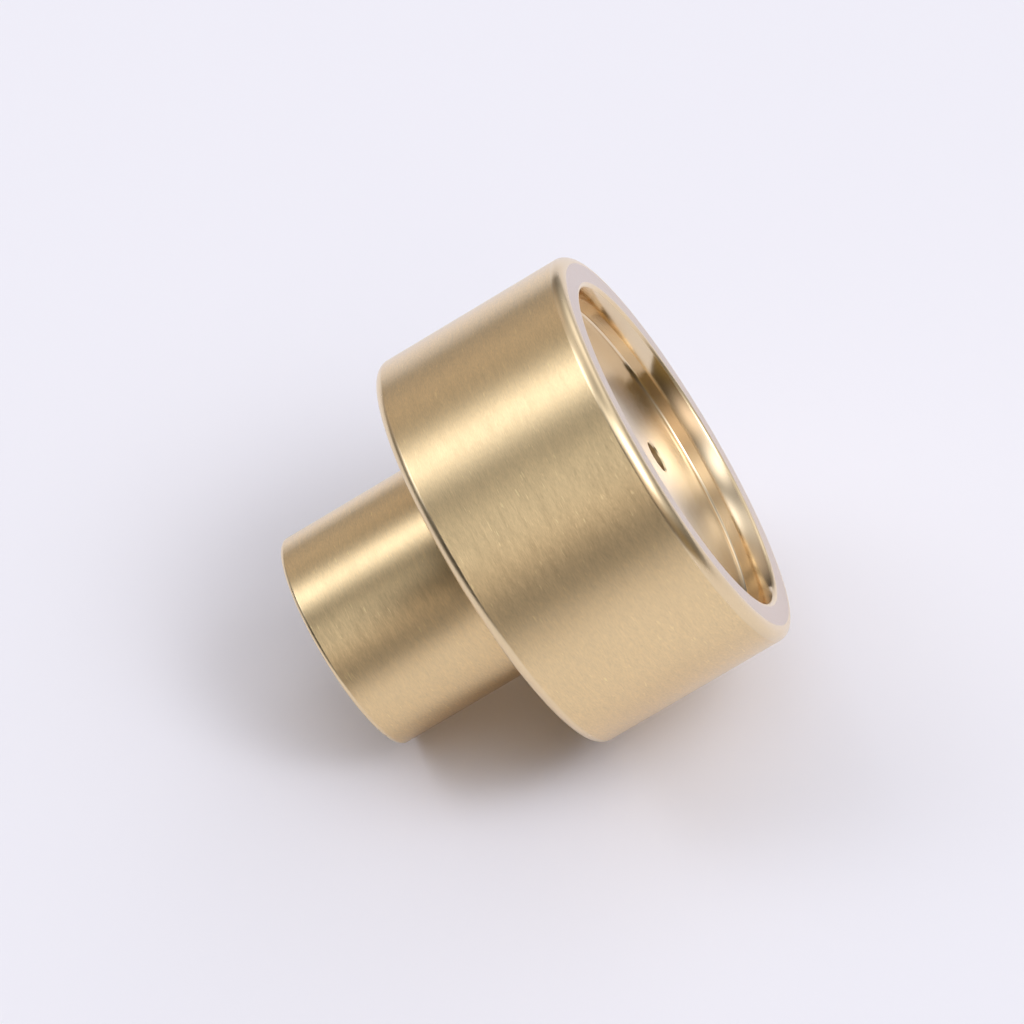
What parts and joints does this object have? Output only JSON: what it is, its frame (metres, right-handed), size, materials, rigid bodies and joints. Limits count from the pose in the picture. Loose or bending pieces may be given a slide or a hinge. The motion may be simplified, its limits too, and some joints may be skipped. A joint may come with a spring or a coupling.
{
  "type": "cabinet knob",
  "caption": "Turned brass cabinet knob: a wide drum head with a shallow round recess in its front, on a narrower plain neck with a tapped hole in its foot.",
  "frame": {"origin": "centre of the neck's foot, the flat face that stands on the furniture", "axes": "+Z along the knob's axis, from the foot through the neck to the recessed front; +Y from the axis towards one of the two spanner holes in the recess floor, +X square to both"},
  "size_m": [0.03, 0.03, 0.027],
  "materials": {
    "satin_brass": "satin brushed round the axis on the barrel and the neck, fine turned and brighter on the rim and inside the recess, clear lacquered",
    "stud_steel": "plain steel set screw, dull"
  },
  "bodies": {
    "root": {"knob_head": "satin_brass", "knob_neck": "satin_brass", "joining_stud": "stud_steel"}
  },
  "joints": []
}
